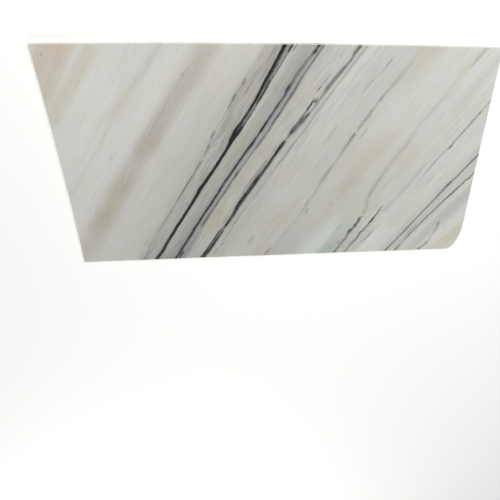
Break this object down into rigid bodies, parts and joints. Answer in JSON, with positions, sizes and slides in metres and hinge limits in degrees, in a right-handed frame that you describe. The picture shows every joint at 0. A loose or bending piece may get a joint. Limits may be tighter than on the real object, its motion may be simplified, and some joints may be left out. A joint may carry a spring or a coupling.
{
  "type": "marble slab",
  "caption": "Sheet of veined white marble with a polished face, a sawn back and raw sawn edges, one corner naturally rounded, for cladding or a worktop.",
  "frame": {"origin": "middle of the slab's outline box, on the sawn back that it lies on", "axes": "+X along the long side, +Y up the height of the polished face as it is shown upright, +Z out of the polished face"},
  "size_m": [1.8368, 1.026, 0.02],
  "materials": {
    "marble": "polished"
  },
  "bodies": {
    "root": {"slab": "marble"}
  },
  "joints": []
}
